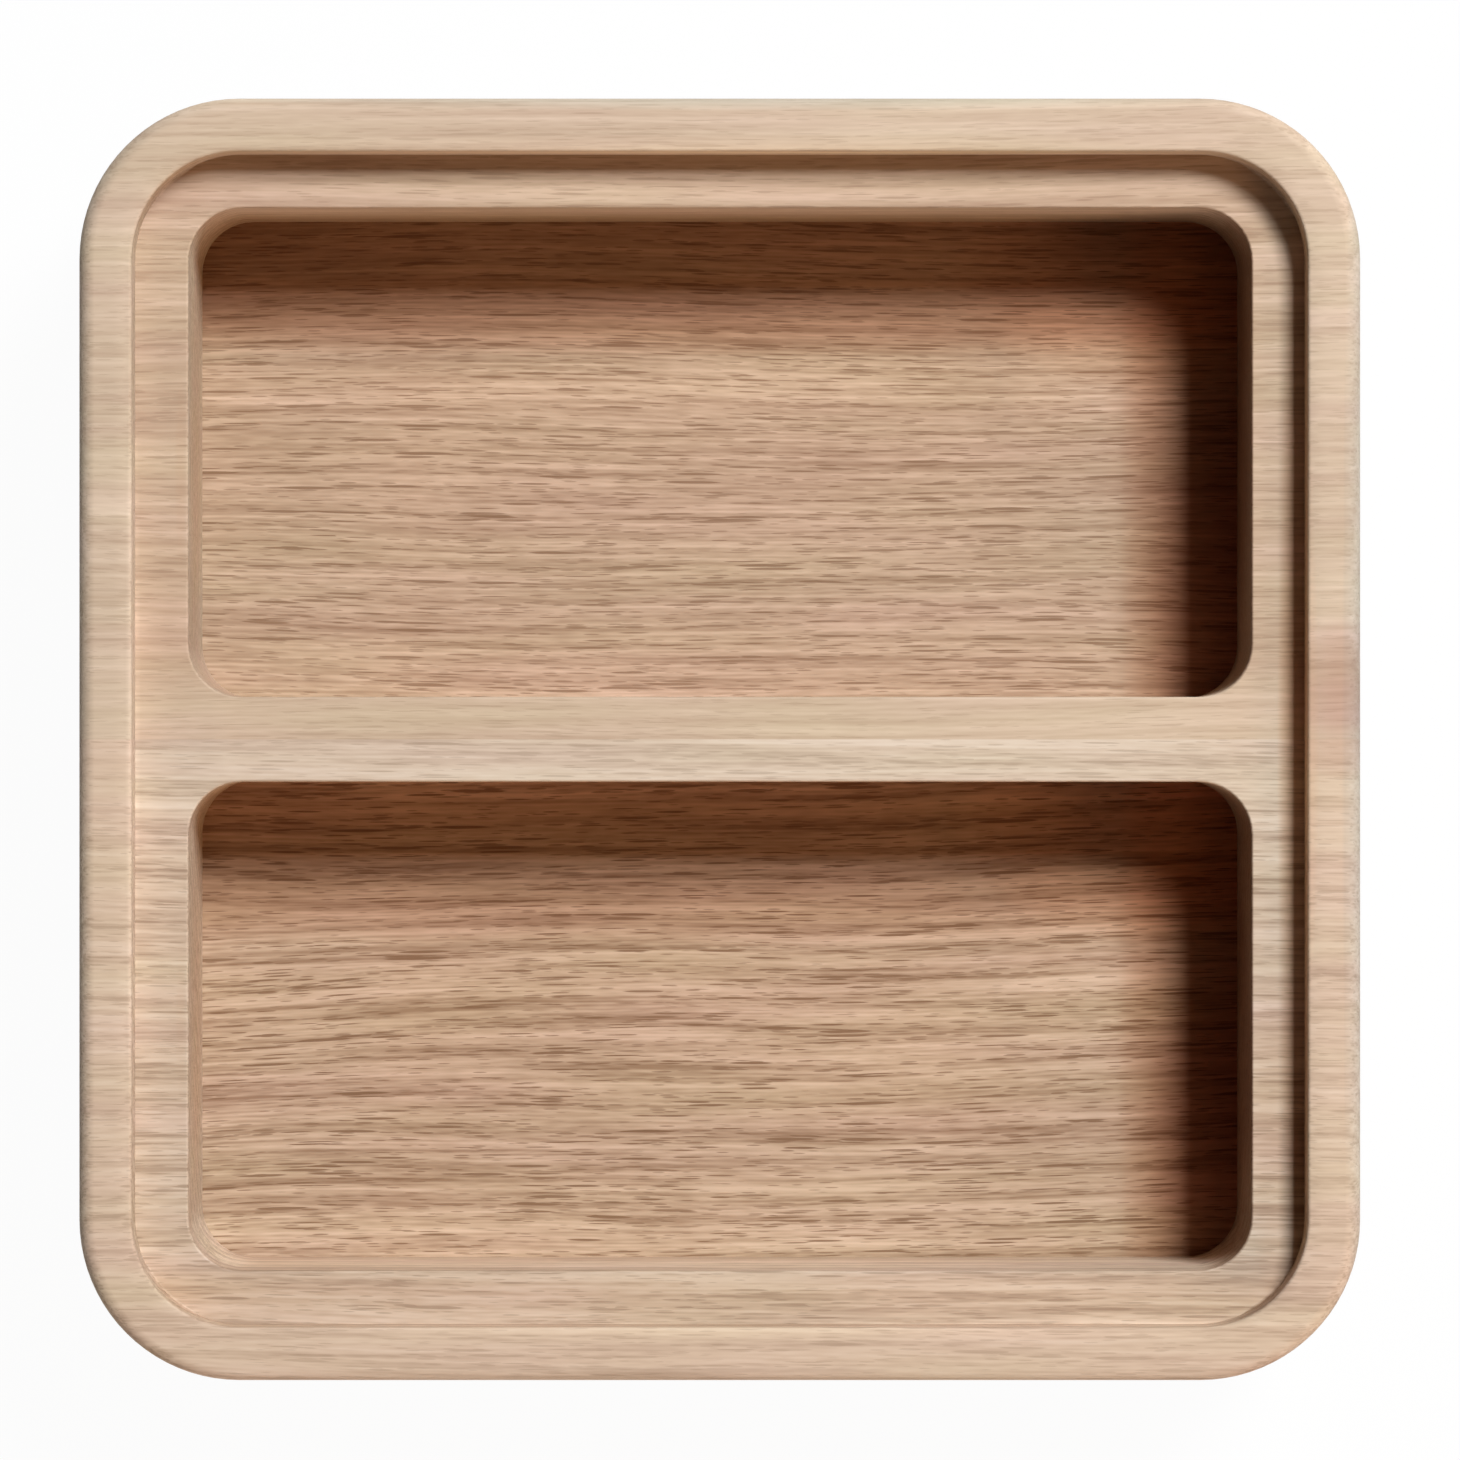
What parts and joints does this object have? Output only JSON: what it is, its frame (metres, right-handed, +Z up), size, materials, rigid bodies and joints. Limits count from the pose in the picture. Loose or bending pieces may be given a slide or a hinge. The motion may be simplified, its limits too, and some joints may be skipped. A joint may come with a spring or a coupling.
{
  "type": "two-compartment box",
  "caption": "Low square stackable oak box with two oblong pockets, a rebated rim, rounded corners and a stepped foot.",
  "frame": {"origin": "middle of the foot's underside, which the box stands on", "axes": "+Z up, out of the pockets; +X along the grain and along each pocket; +Y across the divider, from the front pocket to the rear pocket"},
  "size_m": [0.12, 0.12, 0.03],
  "materials": {
    "body_stave_front": "oak, sanded, no stain or gloss",
    "body_stave_rear": "oak, sanded, no stain or gloss",
    "base_stave_front": "oak, sanded, no stain or gloss",
    "base_stave_rear": "oak, sanded, no stain or gloss"
  },
  "bodies": {
    "root": {"body_stave_front": "body_stave_front", "body_stave_rear": "body_stave_rear", "base_stave_front": "base_stave_front", "base_stave_rear": "base_stave_rear"}
  },
  "joints": []
}
